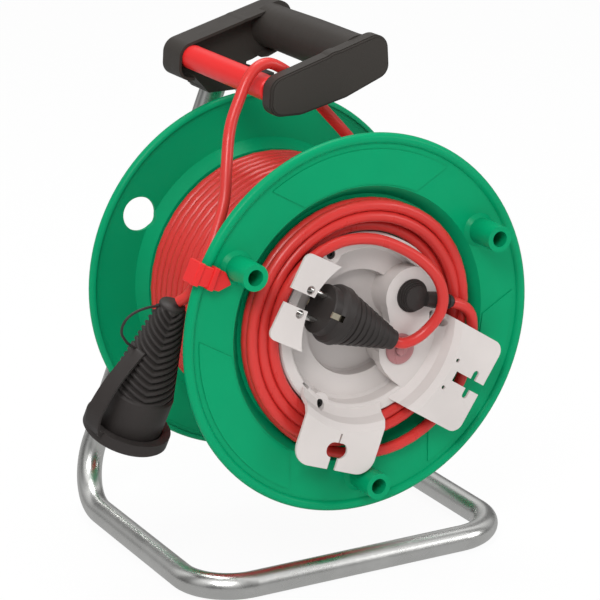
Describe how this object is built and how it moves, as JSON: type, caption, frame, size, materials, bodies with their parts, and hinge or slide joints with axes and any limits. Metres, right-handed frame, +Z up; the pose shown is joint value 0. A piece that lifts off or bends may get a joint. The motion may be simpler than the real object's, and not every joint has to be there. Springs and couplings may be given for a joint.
{
  "type": "extension cord reel",
  "caption": "Extension cord reel: flanged drum on a bent tube stand, with a carrying handle, a parked supply plug and a coupling with a hinged lid.",
  "frame": {"origin": "on the floor, midway between the drum's sides and midway between the stand's rear corners and the tips of the front bosses", "axes": "+Z up, -Y to the operator's side with the storage insert, +X to the operator's right; the drum turns about Y"},
  "size_m": [0.347, 0.2727, 0.4048],
  "materials": {
    "galvanised_tube": "zinc coated tube, satin",
    "zinc_steel": "zinc plated",
    "bright_steel": "smooth turned steel, nickel plated on the pins",
    "spring_steel": "phosphated spring steel",
    "handle_black": "fine grained",
    "guide_red": "smooth moulded",
    "drum_green": "smooth moulded, semi gloss",
    "insert_grey": "smooth moulded, satin",
    "bearing_white": "smooth",
    "screw_black": "blackened",
    "black_rubber": "matt rubber",
    "contact_plate": "moulded",
    "brass_contact": "bright",
    "silicone_pink": "clear silicone over a red knob",
    "housing_black": "moulded",
    "cord_red": "smooth sheath, satin"
  },
  "bodies": {
    "root": {"tube_frame": "galvanised_tube", "axle_bracket": "zinc_steel", "bracket_bolts": "zinc_steel", "bracket_nuts": "zinc_steel", "axle": "bright_steel", "axle_nut": "zinc_steel", "thrust_washer": "zinc_steel", "axle_clip": "spring_steel", "rear_arm": "handle_black", "apex_clamp": "handle_black", "clamp_screws": "zinc_steel", "front_arm": "handle_black", "grip": "handle_black", "guide_bar": "guide_red", "guide_rod": "bright_steel", "rod_caps": "handle_black", "cord_clip": "guide_red", "cord_run": "cord_red", "coupling_body": "black_rubber", "coupling_face": "contact_plate", "coupling_contacts": "brass_contact", "lid_band": "black_rubber", "lid_pin": "zinc_steel"},
    "drum": {"front_flange": "drum_green", "rear_flange": "drum_green", "drum_core": "drum_green", "tie_bolts": "zinc_steel", "tie_nuts": "zinc_steel", "bearing_bush": "bearing_white", "storage_insert": "insert_grey", "insert_screws": "screw_black", "gland_boot": "black_rubber", "reset_boot": "silicone_pink", "cutout_body": "housing_black", "terminal_block": "bearing_white", "cord_clamp": "insert_grey", "inner_screws": "zinc_steel", "winding": "cord_red", "supply_coil": "cord_red", "supply_lead": "cord_red", "supply_tail": "cord_red", "plug_body": "black_rubber", "plug_pins": "bright_steel", "plug_contacts": "brass_contact"},
    "reset_button": {"reset_button": "silicone_pink"},
    "coupling_lid": {"coupling_lid": "black_rubber"}
  },
  "joints": [
    {"name": "drum_turn", "type": "hinge", "parent": "root", "child": "drum", "pos_m": [0, 0, 0.198], "axis": [0, 1, 0], "continuous": true},
    {"name": "button_press", "type": "slide", "parent": "drum", "child": "reset_button", "axis": [0, 1, 0], "range_m": [0, 0.002], "stiffness_N_per_m": 400},
    {"name": "lid_swing", "type": "hinge", "parent": "root", "child": "coupling_lid", "pos_m": [-0.19755, -0.06219, 0.13806], "axis": [-0.2817, 0.892, 0.3536], "range_deg": [0, 110], "stiffness_Nm_per_rad": 0.03, "springref_deg": -28.65}
  ]
}
